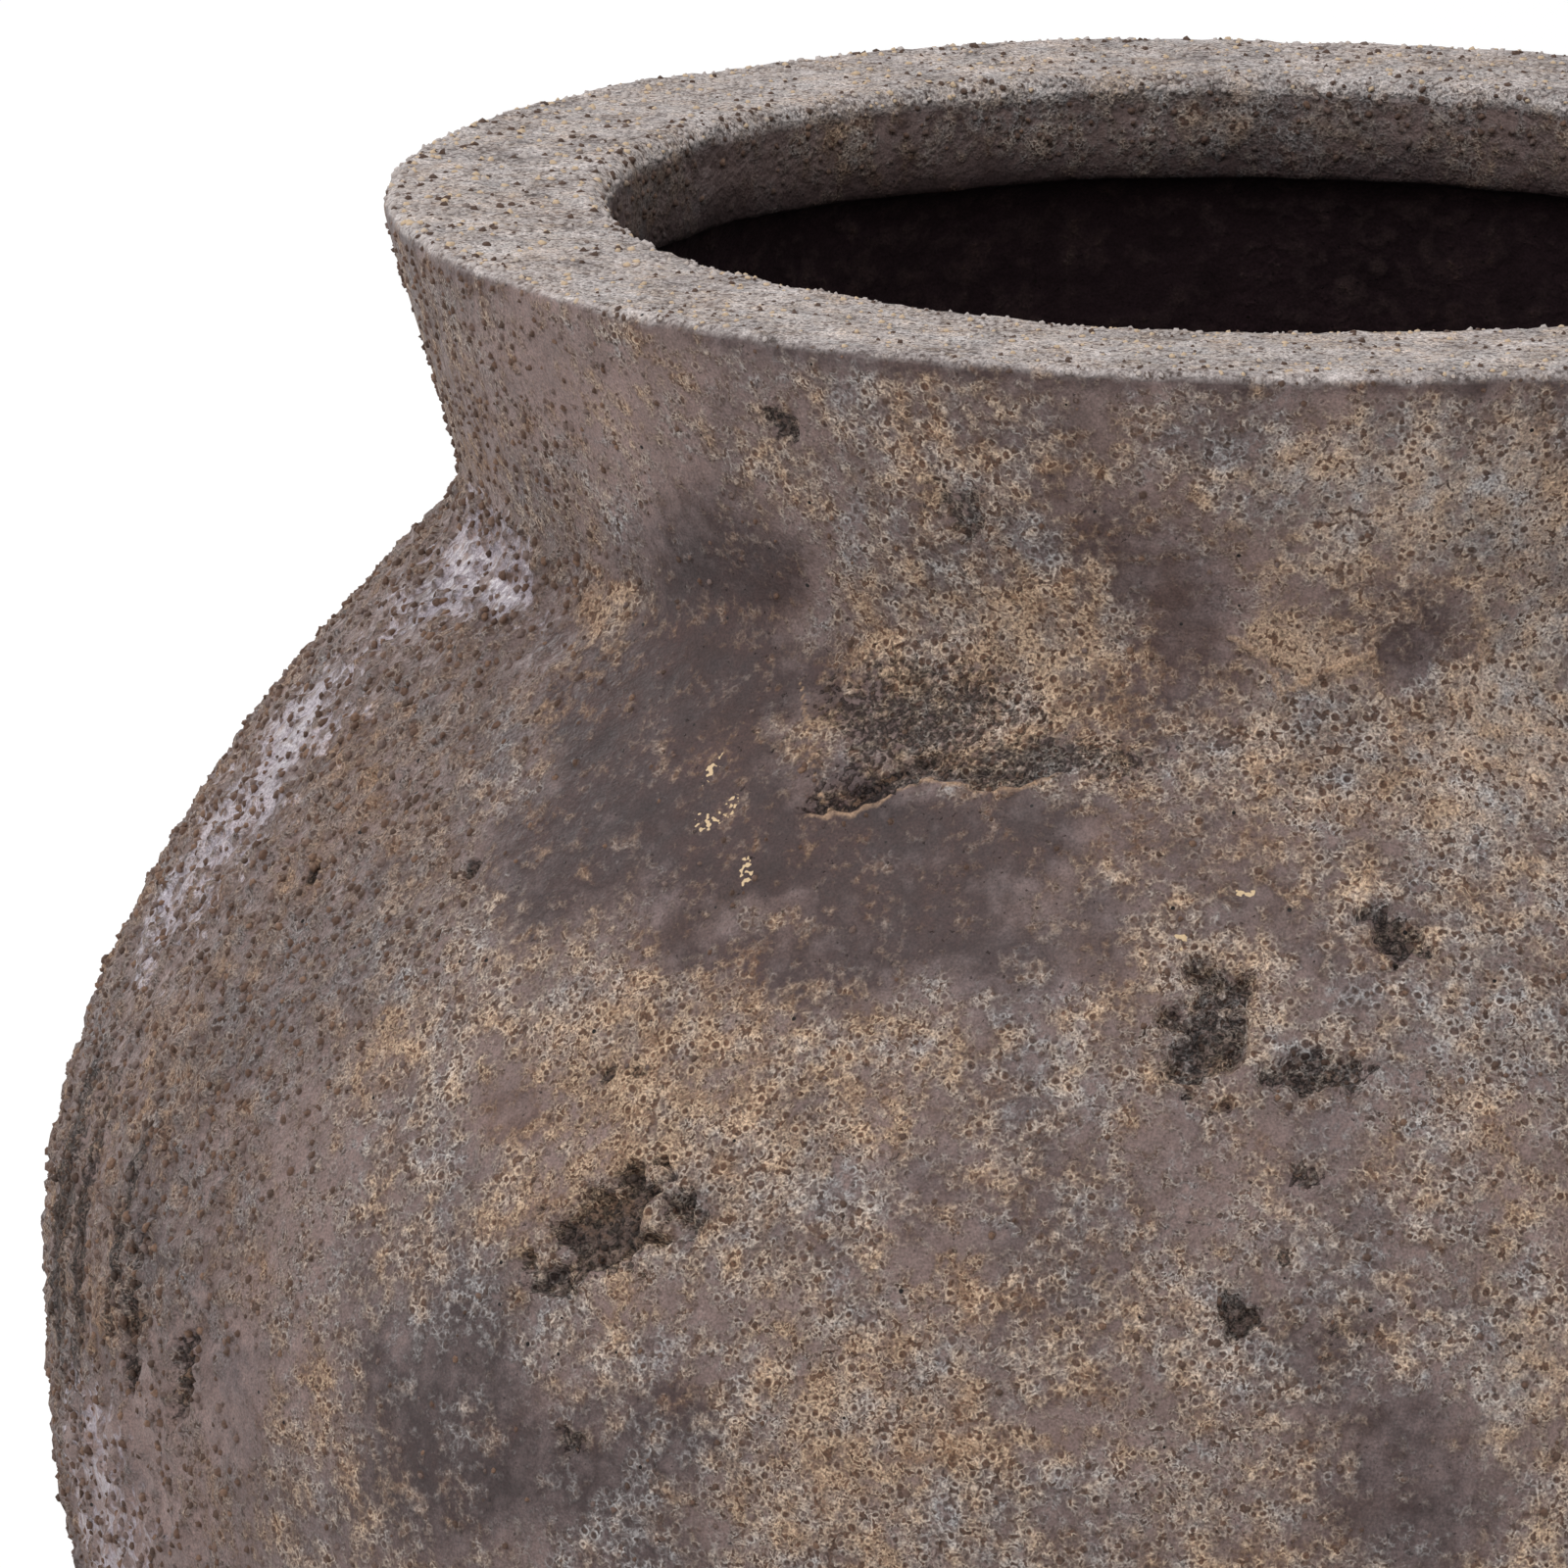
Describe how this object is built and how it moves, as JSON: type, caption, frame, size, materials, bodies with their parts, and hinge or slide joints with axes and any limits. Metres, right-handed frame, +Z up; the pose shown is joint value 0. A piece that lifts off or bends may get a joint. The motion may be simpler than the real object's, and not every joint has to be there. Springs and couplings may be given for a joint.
{
  "type": "planter",
  "caption": "Round fired-clay jar planter with a wide belly, drawn-in neck and flared flat rim, a lift-out rubber bung in its drain hole and rubber pads under its foot.",
  "frame": {"origin": "on the jar's axis, on the ground plane under the foot pads", "axes": "+Z up along the jar's axis of revolution; -Y towards the viewer of the picture; +X to the viewer's right"},
  "size_m": [0.4, 0.4, 0.39],
  "materials": {
    "stoneware": "matte",
    "bung_rubber": "matte",
    "pad_rubber": "matte"
  },
  "bodies": {
    "pot": {"pot_body": "stoneware", "foot_pad_1": "pad_rubber", "foot_pad_2": "pad_rubber", "foot_pad_3": "pad_rubber", "foot_pad_4": "pad_rubber"},
    "bung": {"drain_bung": "bung_rubber"}
  },
  "joints": [
    {"name": "bung_lift", "type": "slide", "parent": "pot", "child": "bung", "axis": [0, 0, 1], "range_m": [0, 0.4]}
  ]
}
